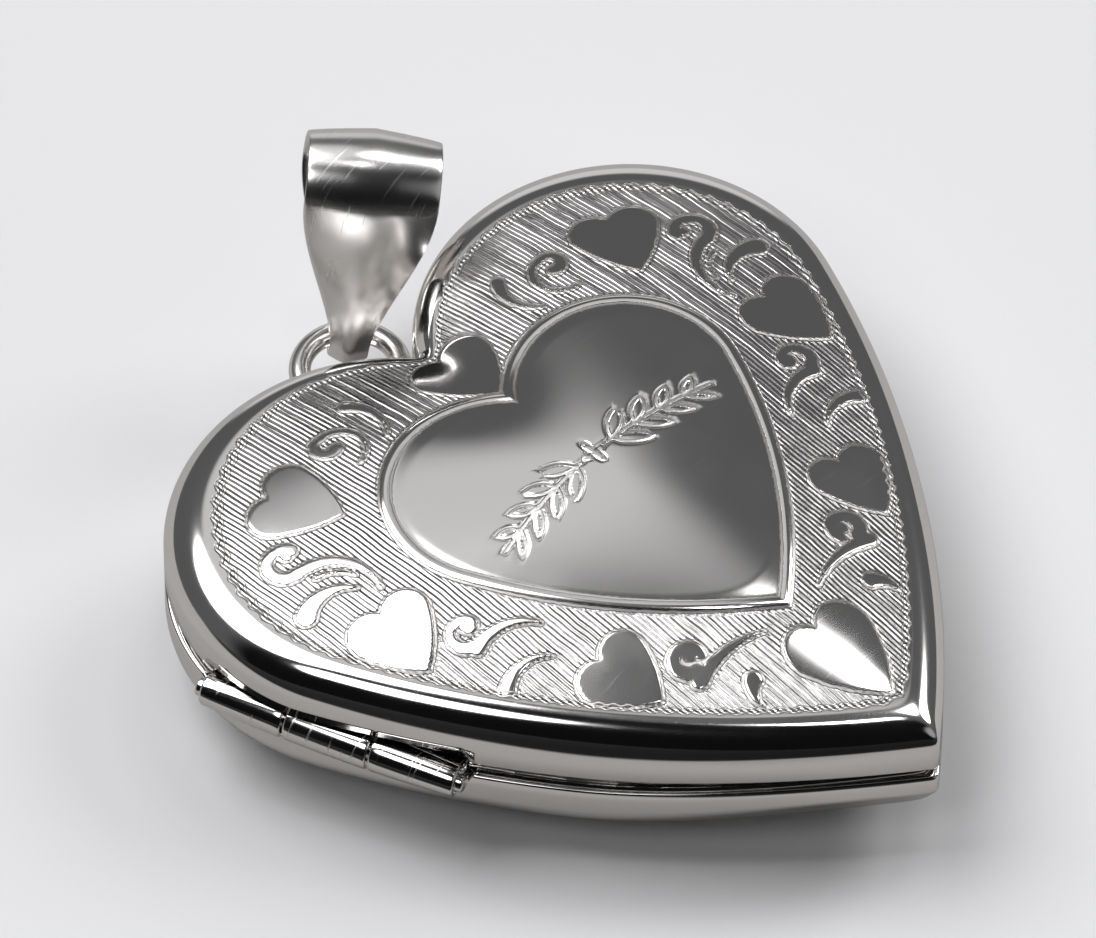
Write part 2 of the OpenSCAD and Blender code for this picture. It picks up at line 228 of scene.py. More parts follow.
# Scroll strokes: arc centre, radius, start and end angle, half width at start and end
STROKES = [
    # between the top heart and the upper hearts
    (4.0, 2.0, 0.68, 95, 265, 0.10, 0.03),
    (4.08, 2.4, 0.28, 120, -110, 0.10, 0.17),
    (3.6, 2.25, 1.1, 138, 228, 0.15, 0.02),
    # between the upper and the middle hearts
    (7.4, 0.62, 0.45, 160, -82, 0.13, 0.17),
    (7.6, -1.15, 1.32, 94, 207, 0.17, 0.03),
    (7.14, 0.74, 0.1, 190, -20, 0.12, 0.12),
    (7.5, -1.25, 0.98, 105, 165, 0.05, 0.02),
    (7.7, -1.75, 1.0, 60, 153, 0.27, 0.02),
    # between the middle and the lower hearts
    (6.0, -4.25, 0.4, 130, -72, 0.10, 0.17),
    (5.78, -4.12, 0.06, 180, -60, 0.17, 0.2),
    (5.75, -6.0, 1.32, 74, 153, 0.18, 0.04),
    (5.85, -6.9, 1.05, 56, 141, 0.19, 0.02),
    # between the lower hearts and the tip
    (2.87, -8.8, 0.36, 205, -76, 0.14, 0.2),
    (2.74, -8.72, 0.08, 200, -60, 0.15, 0.15),
    (2.3, -12.0, 2.72, 73, 119, 0.2, 0.02),
    (1.75, -10.95, 0.75, 56, 0, 0.24, 0.02),
]


def heart_distance(x, y, centre_x, centre_y, tilt, half, stretch=1.0):
    """Distance to a heart's edge, negative inside: to the lobe's circle above the line where the
    lobe turns, and to the long side's circle below it."""
    unit = np.array([0.45, 0.55, LOBE_TURN, 0.0, -1.46])
    side, radius = side_circle(*unit)
    t = math.radians(tilt)
    dx, dy = x - centre_x, y - centre_y
    u = np.abs(dx * math.cos(t) + dy * math.sin(t)) / half
    v = (dy * math.cos(t) - dx * math.sin(t)) / half / stretch
    lobe = np.hypot(u - unit[0], v) - unit[1]
    long_side = np.hypot(u - side[0], v - side[1]) - radius
    above = math.cos(LOBE_TURN) * (v - side[1]) - math.sin(LOBE_TURN) * (u - side[0]) > 0
    return np.where(above, lobe, long_side) * half


def stroke_distance(x, y, centre_x, centre_y, radius, start, end, wide_start, wide_end):
    """Distance to the edge of a tapering arc: from the arc's nearest point, less the half width."""
    middle, half = math.radians(start + end) / 2, math.radians(end - start) / 2
    dx, dy = x - centre_x, y - centre_y
    u = dx * math.cos(middle) + dy * math.sin(middle)
    v = dy * math.cos(middle) - dx * math.sin(middle)
    along = np.clip(np.arctan2(v, u) / half, -1, 1)
    wide = wide_start + (wide_end - wide_start) * (along + 1) / 2
    return np.hypot(u - radius * np.cos(along * half), v - radius * np.sin(along * half)) - wide


def motif_distance(x, y):
    """Distance to the nearest heart or scroll of the border, which mirrors about the middle."""
    side, up = np.abs(x), y - LOBE_Y
    fields = [heart_distance(side, up, *heart) for heart in HEARTS]
    fields += [stroke_distance(side, up, *stroke) for stroke in STROKES]
    return np.minimum.reduce(fields)


SPRAY_Y = CENTRE_Y - 1.03
SPRAY_BOW = 0.035
STEM_START, STEM_END, STEM_HALF = 0.45, 3.75, 0.035
LEAF_START = 0.62
LEAF_PITCH = 0.78
LEAF_PAIRS = 4
LEAF_LENGTH, LEAF_SHRINK, LEAF_WIDTH = 1.14, 0.13, 0.34
LEAF_LEAN = math.radians(38)


def spray_distance(x, y):
    """Distance to the engraved spray: a gently bowed stem, and pairs of pointed leaves that
    repeat along it towards both sides and grow smaller, round a four-petalled flower."""
    along = np.abs(x)
    across = np.abs(y - SPRAY_Y + SPRAY_BOW * along**2)
    cell = np.clip(np.floor((along - LEAF_START) / LEAF_PITCH), 0, LEAF_PAIRS - 1)
    length = LEAF_LENGTH - LEAF_SHRINK * cell
    foot = along - LEAF_START - cell * LEAF_PITCH
    u = foot * math.cos(LEAF_LEAN) + across * math.sin(LEAF_LEAN)
    v = across * math.cos(LEAF_LEAN) - foot * math.sin(LEAF_LEAN)
    wide = LEAF_WIDTH * length
    radius = (length**2 + wide**2) / (4 * wide)
    leaf = np.hypot(u - length / 2, np.abs(v) + radius - wide / 2) - radius
    stem = np.maximum(across - STEM_HALF, np.maximum(along - STEM_END, STEM_START - along))
    petal = np.hypot(x, y - SPRAY_Y) - 0.27 - 0.13 * np.cos(4 * np.arctan2(y - SPRAY_Y, x))
    return np.minimum.reduce([leaf, stem, petal])


# ---------------------------------------------------------------- the two shells
def dome(inset, power=0.8, soft=0.02):
    """How far the face lies below its middle at an inset, as a share of its rise."""
    q = (MIDDLE_INSET - inset) / (MIDDLE_INSET - ZONE_INSET)
    return ((q * q + soft) ** power - soft**power) / ((1 + soft) ** power - soft**power)


def face_height(inset):
    """Height of the front's face at an inset."""
    return FACE_TOP - FACE_RISE * dome(inset)


def tip_lifted(points):
    """Raises the edge bands towards the tip, where they and the groove grow narrow: a share that
    depends on the height, times a smooth step down the heart."""
    heights = [0.0, 0.55, 1.5, BACK_EDGE, FRONT_EDGE, FRONT_BAND_TOP, FACE_TOP - FACE_RISE]
    share = np.interp(points[:, 2], heights, [0.0, 0.4, 1.0, 0.5, 0.25, 0.35, 0.0])
    points[:, 2] += TIP_LIFT * share * ease(LOBE_Y - points[:, 1], LIFT_START, LIFT_FULL)


def shoulder(inset0, inset1, z0, z1, steps):
    """Stations of a quarter of an ellipse, from the inner, upper end outwards and down."""
    a = np.linspace(math.pi / 2, 0, steps + 1)[1:]
    return [(inset0 + (inset1 - inset0) * (1 - math.cos(k)), z0 + (z1 - z0) * math.sin(k)) for k in a]


COUNT = 640  # points round the heart, in each ring of a shell
GROUND_DEPTH = 0.035
BORDER_RIM = 0.03
SPRAY_DEPTH = 0.02
FRAME_OUTER, FRAME_INNER = 1.74, 2.4
INSERT_INSET = 1.78
INSERT_ROOM = 0.01


def keep_off_barrel(points, direction):
    """Lifts the edge of a shell clear of the hinge barrel, up (1) or down (-1). Each height passes
    smoothly over to that of the room round the barrel, by a power mean of the two."""
    offset = points - HINGE_MID
    along = offset @ HINGE_DIR
    across = np.hypot(*(offset - np.outer(along, HINGE_DIR))[:, :2].T)
    near = (np.abs(along) < BARREL_HALF + 0.15) & (across < BARREL_ROOM)
    room = np.sqrt(np.clip(BARREL_ROOM**2 - across**2, 0, None))
    height = direction * (points[:, 2] - SEAM)
    power = 8
    raised = (room**power + height**power) ** (1 / power)
    points[:, 2] = np.where(near & (height > 0), SEAM + direction * raised, points[:, 2])


def engraved_front():
    """The front half: plain heart, sunk engraved ground with raised hearts and scrolls, rounded
    shoulder, edge band, and the plain inside of the sheet."""
    edge = EDGE_ROUND
    centre_heart = np.linspace(MIDDLE_INSET - 0.07, CENTRE_INSET + 0.2, 46)
    engraved_zone = np.linspace(CENTRE_INSET + 0.15, ZONE_INSET, 66)
    outside = [(s, face_height(s)) for s in (*centre_heart, *engraved_zone)]
    zone_z = face_height(ZONE_INSET)
    outside += shoulder(0, ZONE_INSET, FRONT_BAND_TOP, zone_z, 20)
    outside += [(0, FRONT_BAND_TOP - 0.3), (0, FRONT_EDGE + edge)]
    outside += [(edge * 0.3, FRONT_EDGE + edge * 0.3), (edge, FRONT_EDGE)]
    inside = [(SHEET - edge, FRONT_EDGE), (SHEET, FRONT_EDGE + edge), (SHEET, FRONT_BAND_TOP)]
    inside += [(0.6, FRONT_BAND_TOP + 0.4), (ZONE_INSET, zone_z - SHEET)]
    inside += [(s, face_height(s) - SHEET) for s in (2.4, 4.0, 6.0, 8.5)]
    points, faces = heart_sheet(outside + inside, COUNT)
    inset = np.repeat([s for s, _ in outside + inside], COUNT)
    inset = np.concatenate([inset, [MIDDLE_INSET] * 2])
    outer = np.arange(len(points)) < len(outside) * COUNT
    tip_lifted(points)
    x, y = points[:, 0], points[:, 1]
    motif = motif_distance(x, y)
    border = heart_distance(x, y, 0, CENTRE_Y, 0, CENTRE_HALF)
    spray = spray_distance(x, y)
    zone = ease(inset, ZONE_INSET + 0.02, ZONE_INSET + 0.2) * ease(border, 0.3, 0.42)
    sunk = zone * ease(motif, -0.02, 0.1) * GROUND_DEPTH
    rim = np.exp(-((border - 0.18) / 0.1) ** 2) * BORDER_RIM
    cut = np.exp(-((spray / 0.06) ** 2)) * ease(-border, 0.4, 0.6) * SPRAY_DEPTH
    points[:, 2] -= np.where(outer, sunk - rim + cut, 0)
    keep_off_barrel(points, 1)
    piece = make_piece("engraved_front", points, faces, "front", "engraved_silver")
    for name, values in {"motif": motif, "border": border, "inset": inset, "spray": spray}.items():
        layer = piece.data.attributes.new(name, "FLOAT", "POINT")
        layer.data.foreach_set("value", values.astype(np.float32))
    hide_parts("front_shell")
    return piece


def polished_back():
    """The back half: a rounded shoulder, a shallow bowl and the flat that the locket lies on."""
    flat, wide, deep, edge = 4.5, 1.2, 0.95, EDGE_ROUND
    bowl = BACK_BAND_LOW - deep

    def back_height(inset):
        """Height of the back's outside at an inset."""
        return bowl * (max(0.0, flat - inset) / (flat - wide)) ** 1.6

    outside = [(8.9, 0.0), (7.0, 0.0), (5.5, 0.0)]
    outside += [(s, back_height(s)) for s in np.linspace(flat, wide, 24)]
    outside += shoulder(0, wide, BACK_BAND_LOW, bowl, 16)
    outside += [(0, BACK_EDGE - 0.3), (0, BACK_EDGE - edge)]
    outside += [(edge * 0.3, BACK_EDGE - edge * 0.3), (edge, BACK_EDGE)]
    inside = [(SHEET - edge, BACK_EDGE), (SHEET, BACK_EDGE - edge), (SHEET, BACK_BAND_LOW)]
    inside += [(0.7, BACK_BAND_LOW - 0.4), (wide, bowl + SHEET)]
    inside += [(s, back_height(s) + SHEET) for s in (2.4, flat, 8.5)]
    points, faces = heart_sheet(outside + inside, COUNT)
    tip_lifted(points)
    keep_off_barrel(points, -1)
    piece = make_piece("polished_back", points, [f[::-1] for f in faces], "back", "polished_silver")
    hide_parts("back_shell")
    return piece


def insert(name, node, body, slot):
    """A flat heart with rounded edges that lies in the frame: a blank photo or its cover."""
    low, high = box_mm(node)
    centre, thick = (low[2] + high[2]) / 2, (high[2] - low[2]) / 2 - INSERT_ROOM
    a = np.linspace(math.pi / 2, -math.pi / 2, 7)
    edge = [(INSERT_INSET + thick * (1 - math.cos(k)), centre + thick * math.sin(k)) for k in a]
    middle = (8.9, 7.0, 5.0, 3.0)
    stations = [(s, centre + thick) for s in middle] + edge + [(s, centre - thick) for s in middle[::-1]]
    points, faces = heart_sheet(stations, 360)
    piece = make_piece(name, points, faces, body, slot)
    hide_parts(node)
    return piece


def photo_frame(name, node, body):
    """A snap-in frame: a rounded, slightly crowned ring round the photo window."""
    low, high = box_mm(node)
    middle, thick = (low[2] + high[2]) / 2, (high[2] - low[2]) / 2
    centre, half = (FRAME_OUTER + FRAME_INNER) / 2, (FRAME_INNER - FRAME_OUTER) / 2
    a = np.linspace(0, 2 * math.pi, 24, endpoint=False)
    across = np.sign(np.cos(a)) * np.abs(np.cos(a)) ** 0.6
    up = np.sign(np.sin(a)) * np.abs(np.sin(a)) ** 0.6
    stations = [(centre + half * u, middle + thick * v) for u, v in zip(across, up)]
    points, faces = heart_sheet(stations, 360, closed=True)
    piece = make_piece(name, points, faces, body, "rim_silver")
    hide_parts(node)
    return piece


# ---------------------------------------------------------------- hinge, catch, loop and bail
def turned(profile, origin, axis, count=48, poles=False):
    """A profile of [radius, distance along the axis] points, carried round the axis. It is closed,
    or with poles it runs up from one point on the axis to another, each closed with a fan."""
    axis = axis / np.linalg.norm(axis)
    first = np.cross(axis, UP if abs(axis[2]) < 0.9 else RIGHT)
    first /= np.linalg.norm(first)
    second = np.cross(axis, first)
    a = np.linspace(0, 2 * math.pi, count, endpoint=False)[:, None]
    round_way = np.cos(a) * first + np.sin(a) * second
    profile = np.asarray(profile, float)
    points = origin + profile[:, 0, None, None] * round_way + profile[:, 1, None, None] * axis
    points, faces = points.reshape(-1, 3), grid_faces(len(profile), count, close_rows=not poles).tolist()
    if poles:
        ends = origin + np.stack([profile[0, 1] * axis, profile[-1, 1] * axis])
        return capped(points, faces, count, ends)
    return points, faces


def join(*parts):
    """One list of vertices and faces from several."""
    points, faces, shift = [], [], 0
    for part_points, part_faces in parts:
        points.append(part_points)
        faces += [[i + shift for i in f] for f in part_faces]
        shift += len(part_points)
    return np.concatenate(points), faces


FOOT_REACH, FOOT_TOP, FOOT_LOW = 1.05, 0.22, 0.025
TUBE_R, TUBE_FILED, TUBE_FILED_AT = 0.53, 0.13, 3.5
TUBE_ROUND = 0.07
PIN_R = 0.24
PIN_OVERHANG = 0.09
PIN_DOME = 0.1


def knuckle(name, node, k, body, side, bore):
    """A tube round the pin with its foot in one piece. Seen along the pin, the outer edge is the
    tube's circle or, towards the heart, the foot's box, whichever lies further from the axis. The
    ends are rounded over, and the bore runs through. The tube is filed to follow the heart's side:
    its radius falls with the square of the distance from the middle of the hinge."""
    inward = np.cross(HINGE_DIR, UP)
    a = np.linspace(0, 2 * math.pi, 240, endpoint=False)
    tiny = 1e-6
    box = np.minimum(FOOT_REACH / np.clip(np.cos(a), tiny, None), FOOT_TOP / np.clip(np.sin(a), tiny, None))
    in_box = (a > math.atan2(FOOT_LOW, FOOT_REACH)) & (a < math.pi / 2)
    half = KNUCKLE_LENGTH / 2
    turn = np.linspace(0, math.pi / 2, 6)
    rounding = TUBE_ROUND * (1 - np.sin(turn))
    end = half - TUBE_ROUND * (1 - np.cos(turn))
    straight = np.linspace(-half, half, 10)[1:-1]
    offset = np.concatenate([-end, straight, end[::-1]])
    cut_back = np.concatenate([rounding, np.zeros(len(straight)), rounding[::-1]])
    along = offset + k * KNUCKLE_PITCH
    tube = (TUBE_R - TUBE_FILED * (along / TUBE_FILED_AT) ** 2)[:, None]
    outer = np.where(in_box, np.maximum(tube, box), tube) - cut_back[:, None]
    radius = np.concatenate([np.full((1, len(a)), bore), outer, np.full((1, len(a)), bore)])
    along = np.concatenate([along[:1], along, along[-1:]])[:, None]
    points = HINGE_MID + (radius * np.cos(a))[..., None] * inward + along[..., None] * HINGE_DIR
    points = points + (side * radius * np.sin(a))[..., None] * UP
    faces = grid_faces(len(radius), len(a), close_rows=True)
    if side > 0:
        faces = faces[:, ::-1]
    piece = make_piece(name, points.reshape(-1, 3), faces.tolist(), body, "hinge_silver")
    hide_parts(node)
    return piece


def pin():
    """The hinge pin, with a slightly domed head at each end."""
    end = BARREL_HALF + PIN_OVERHANG
    a = np.linspace(0, math.pi / 2, 9)[1:]
    head = [(PIN_R * math.sin(k), end + PIN_DOME * math.cos(k)) for k in a]
    profile = [(r, -h) for r, h in head] + head[::-1]
    points, faces = turned(profile, HINGE_MID, HINGE_DIR, 40, poles=True)
    piece = make_piece("pin", points, faces, "back", "hinge_silver")
    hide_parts("hinge_pin")
    return piece


def tongue():
    """The catch tongue: a thin plate with rounded ends and a rolled bead along its lower edge."""
    half_thick, bead, half_wide = 0.085, 0.04, 0.98
    low, high = box_mm("catch_tongue")
    middle = (low + high) / 2
    turn = math.atan2(HINGE_DIR[0], HINGE_DIR[1])
    out = np.array([math.cos(turn), -math.sin(turn), 0]) * [1, -1, 1]
    along = np.cross(UP, out)
    a = np.linspace(0, 2 * math.pi, 20, endpoint=False)
    reach = (high[2] - low[2]) / 2
    lift = np.sin(a) * reach
    thick = half_thick + bead * np.exp(-(((lift + reach * 0.78) / 0.13) ** 2))
    side = np.sign(np.cos(a)) * np.abs(np.cos(a)) ** 0.3 * thick
    places = np.linspace(-1, 1, 9)
    ends = (1 - places**8)[:, None]
    points = middle + (side[None, :] * (0.35 + 0.65 * ends))[..., None] * out
    points = points + places[:, None, None] * half_wide * along + lift[None, :, None] * UP
    points = points.reshape(-1, 3)
    faces = grid_faces(len(places), len(a))[:, ::-1].tolist()
    faces += [list(range(len(a))), list(range(len(points) - 1, len(points) - 1 - len(a), -1))]
    piece = make_piece("tongue", points, faces, "front", "rim_silver")
    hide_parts("catch_tongue")
    return piece


LOOP_R = 1.29
LOOP_WIRE = 0.28
SOLDER_HALF = np.array([0.62, 0.5, 0.24])
LOOP_CENTRE = np.array([0.0, BAIL_PIVOT[1] - LOOP_R * math.sin(math.pi / 4), BAIL_PIVOT[2]])


def fixed_loop():
    """The wire ring at the cleft, with a blob of solder that joins it to the back half."""
    a = np.linspace(0, 2 * math.pi, 32, endpoint=False)
    wire = np.stack([LOOP_R + LOOP_WIRE * np.cos(a), LOOP_WIRE * np.sin(a)], 1)
    ring = turned(wire, LOOP_CENTRE, UP, 96)
    u = np.linspace(0, math.pi, 18)[1:-1]
    blob = np.stack([np.sin(u), -np.cos(u)], 1)
    points, faces = turned(blob, np.zeros(3), UP, 32, poles=True)
    points = points * SOLDER_HALF + LOOP_CENTRE - [0, LOOP_R + 0.42, 0.05]
    piece = make_piece("fixed_loop", *join(ring, (points, faces)), "back", "bail_silver")
    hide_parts("bail_loop")
    return piece


def bail_frame():
    """The bail's own directions: width, depth and length, leaning out and cocked on the loop."""
    lean, cock = math.radians(20), math.radians(8)
    width = np.array(BAIL_TANGENT)
    depth = np.cross(UP, width)
    long_way = UP * math.cos(lean) + depth * math.sin(lean)
    depth = depth * math.cos(lean) - UP * math.sin(lean)
    return (width * math.cos(cock) - long_way * math.sin(cock), depth,
            long_way * math.cos(cock) + width * math.sin(cock))


def bail():
    """A strip bent into a teardrop: a small bend round the loop, a large bend for the chain and
    two straight leaves. It widens upwards, and is thickest along a soft ridge in its middle."""
    width, depth, long_way = bail_frame()
    eye, top, length, thick = 0.55, 1.1, 4.3, 0.32
    half_eye, half_top, edge_thinning, ridge_round = 0.5, 1.7, 0.6, 0.004
    r1, r2 = eye + thick / 2, top + thick / 2
    slope = math.asin((r2 - r1) / length)
    a = np.linspace(-slope, math.pi + slope, 60)
    b = np.linspace(math.pi + slope, 2 * math.pi - slope, 36)
    over = np.stack([r2 * np.cos(a), length + r2 * np.sin(a)], 1)
    under = np.stack([r1 * np.cos(b), r1 * np.sin(b)], 1)
    leaf = np.linspace(0, 1, 40)[1:-1, None]
    path = np.concatenate([over, over[-1] + (under[0] - over[-1]) * leaf, under,
                           under[-1] + (over[0] - under[-1]) * leaf])
    facing = np.concatenate([a, np.full(len(leaf), a[-1]), b, np.full(len(leaf), a[0])])
    normal = np.stack([np.cos(facing), np.sin(facing)], 1)
    half = half_eye + (half_top - half_eye) * ease(path[:, 1] / length, -0.05, 1.0) ** 0.85
    c = np.linspace(0, 2 * math.pi, 48, endpoint=False)
    across = np.sign(np.cos(c)) * np.abs(np.cos(c)) ** 0.45
    lift = np.sign(np.sin(c)) * np.abs(np.sin(c)) ** 0.45 * thick / 2
    thinned = 1 - edge_thinning * np.sqrt(across**2 + ridge_round)
    rise = (lift + thick / 2) * thinned - thick / 2
    flat = path[:, None, :] + rise[None, :, None] * normal[:, None, :]
    side = across[None, :] * half[:, None]
    points = BAIL_PIVOT + side[..., None] * width + flat[..., :1] * depth + flat[..., 1:] * long_way
    faces = grid_faces(len(path), len(c), close_rows=True).tolist()
    piece = make_piece("tapered_bail", points.reshape(-1, 3), faces, "bail", "bail_silver")
    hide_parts("bail")
    return piece


# ---------------------------------------------------------------- node short-hand
class Nodes:
    """Adds nodes to a tree. put returns the new node, and every other call its result."""

    def __init__(self, tree):
        self.tree = tree

    def put(self, kind, values=None, **settings):
        """A new node with its settings, and its inputs set or, where given a socket, linked."""
        node = self.tree.nodes.new(kind)
        for name, value in settings.items():
            setattr(node, name, value)
        for key, value in (values or {}).items():
            if isinstance(value, bpy.types.NodeSocket):
                self.tree.links.new(value, node.inputs[key])
            else:
                node.inputs[key].default_value = value
        return node

    def math(self, operation, *values):
        """One step of arithmetic."""
        return self.put("ShaderNodeMath", dict(enumerate(values)), operation=operation).outputs[0]

    def noise(self, vector, scale, detail):
        """Cloudy noise, scale times a metre."""
        values = {"Vector": vector, "Scale": scale, "Detail": detail}
        return self.put("ShaderNodeTexNoise", values).outputs[0]

    def dot(self, vector, direction):
        """How far a vector reaches along a direction."""
        node = self.put("ShaderNodeVectorMath", {0: vector, 1: direction}, operation="DOT_PRODUCT")
        return node.outputs["Value"]

    def step(self, value, low, high, bottom=0.0, top=1.0):
        """A smooth step from bottom to top while value goes from low to high."""
        node = self.put("ShaderNodeMapRange", {0: value, 1: low, 2: high, 3: bottom, 4: top},
                        interpolation_type="SMOOTHSTEP")
        return node.outputs[0]

    def attribute(self, name):
        """A value kept with the mesh's points."""
        return self.put("ShaderNodeAttribute", attribute_name=name).outputs["Fac"]

    def colour(self, factor, first, second):
        """A mix of two colours."""
        node = self.put("ShaderNodeMix", {0: factor, 6: first, 7: second}, data_type="RGBA")
        return node.outputs[2]


def new_group(name, inputs, outputs):
    """An empty shader node group with float or vector inputs and float outputs."""
    tree = bpy.data.node_groups.new(name, "ShaderNodeTree")
    for label, kind, value in inputs:
        socket = tree.interface.new_socket(label, in_out="INPUT", socket_type=kind)
        if value is not None:
            socket.default_value = value
    for label in outputs:
        tree.interface.new_socket(label, in_out="OUTPUT", socket_type="NodeSocketFloat")
    start, end = tree.nodes.new("NodeGroupInput"), tree.nodes.new("NodeGroupOutput")
    return tree, Nodes(tree), start.outputs, end.inputs


def polish_group():
    """Traces of wear on polished silver: faint cloudy haze, and fine scratches in two directions."""
    tree, n, given, out = new_group(
        "silver_polish",
        [("Position", "NodeSocketVector", None), ("Roughness", "NodeSocketFloat", 0.06),
         ("Haze", "NodeSocketFloat", 0.03), ("Scratches", "NodeSocketFloat", 0.05)],
        ["Roughness", "Height"],
    )
    cloud = n.noise(given["Position"], 420.0, 4.0)
    haze = n.math("MULTIPLY", n.step(cloud, 0.42, 0.7), given["Haze"])
    marks = []
    for turn, stretch in ((0.5, 14000.0), (-1.1, 11000.0)):
        values = {0: given["Position"], 2: (0.0, 0.0, turn), 3: (500.0, stretch, 500.0)}
        grain = n.noise(n.put("ShaderNodeMapping", values).outputs[0], 1.0, 1.0)
        marks.append(n.step(grain, 0.68, 0.74))
    scratch = n.math("MULTIPLY", n.math("MAXIMUM", *marks), given["Scratches"])
    rough = n.math("ADD", n.math("ADD", given["Roughness"], haze), scratch)
    tree.links.new(rough, out["Roughness"])
    tree.links.new(n.math("MULTIPLY", scratch, -1.0), out["Height"])
    return tree


def cut_group():
    """A graver's line along a distance field: 1 on the line, wavering in width like hand work."""
    tree, n, given, out = new_group(
        "graver_cut",
        [("Position", "NodeSocketVector", None), ("Distance", "NodeSocketFloat", 0.0),
         ("Place", "NodeSocketFloat", 0.0), ("Half width", "NodeSocketFloat", 0.05),
         ("Waver", "NodeSocketFloat", 0.02)],
        ["Line"],
    )
    noise = n.noise(given["Position"], 6500.0, 2.0)
    waver = n.math("MULTIPLY", n.math("SUBTRACT", noise, 0.5), n.math("MULTIPLY", given["Waver"], 4.0))
    off = n.math("ABSOLUTE", n.math("ADD", n.math("SUBTRACT", given["Distance"], given["Place"]), waver))
    share = n.math("DIVIDE", off, given["Half width"])
    tree.links.new(n.step(share, 0.55, 1.15, 1.0, 0.0), out["Line"])
    return tree


POLISH, CUT = polish_group(), cut_group()
SILVER = (0.93, 0.915, 0.9, 1.0)


def new_material(name, metallic=1.0, colour=SILVER):
    """A material, with its shader, its node short-hand and the place on the object."""
    material = bpy.data.materials.new(name)
    material.use_nodes = True
    shader = material.node_tree.nodes["Principled BSDF"]
    shader.inputs["Metallic"].default_value = metallic
    shader.inputs["Base Color"].default_value = colour
    n = Nodes(material.node_tree)
    position = n.put("ShaderNodeTexCoord").outputs["Object"]
    return material, shader, n, position


def polish(n, position, roughness, haze, scratches):
    """The wear group placed in a material: its roughness and height outputs."""
    node = n.put("ShaderNodeGroup", node_tree=POLISH)
    n.tree.links.new(position, node.inputs["Position"])
    node.inputs["Roughness"].default_value = roughness
    node.inputs["Haze"].default_value = haze
    node.inputs["Scratches"].default_value = scratches
    return node.outputs["Roughness"], node.outputs["Height"]


def graver(n, position, distance, place, half, waver):
    """The graver's line placed in a material."""
    node = n.put("ShaderNodeGroup", node_tree=CUT)
    n.tree.links.new(position, node.inputs["Position"])
    n.tree.links.new(distance, node.inputs["Distance"])
    for label, value in (("Place", place), ("Half width", half), ("Waver", waver)):
        node.inputs[label].default_value = value
    return node.outputs["Line"]


def link_bump(n, shader, height, depth):
    """Bump from a height, where 1 stands depth millimetres high."""
    bump = n.put("ShaderNodeBump", {"Height": height, "Distance": depth * MM, "Strength": 1.0})
    n.tree.links.new(bump.outputs[0], shader.inputs["Normal"])


def polished_silver(name, roughness=0.05, haze=0.03, scratches=0.06, colour=SILVER):
    """Mirror-polished silver with a trace of haze and fine scratches."""
    material, shader, n, position = new_material(name, colour=colour)
    rough, height = polish(n, position, roughness, haze, scratches)
    n.tree.links.new(rough, shader.inputs["Roughness"])
    link_bump(n, shader, height, 0.002)
    return material


LINE_PITCH = 0.128  # of the ruled ground
CUT_DEPTH = 0.026
WRIGGLE, WRIGGLES = 0.035, 120.0  # of the zone's edge: how far it goes in and out, and how often
# Painted shade: a darker base colour for the sunk, ruled ground
GROUND_PAINTED_SHADE = (0.5, 0.487, 0.483, 1.0)
# Painted shade: darker base colours along the cut lines
CUT_PAINTED_SHADE_DEEP = (0.45, 0.43, 0.42, 1.0)
CUT_PAINTED_SHADE = (0.5, 0.48, 0.47, 1.0)


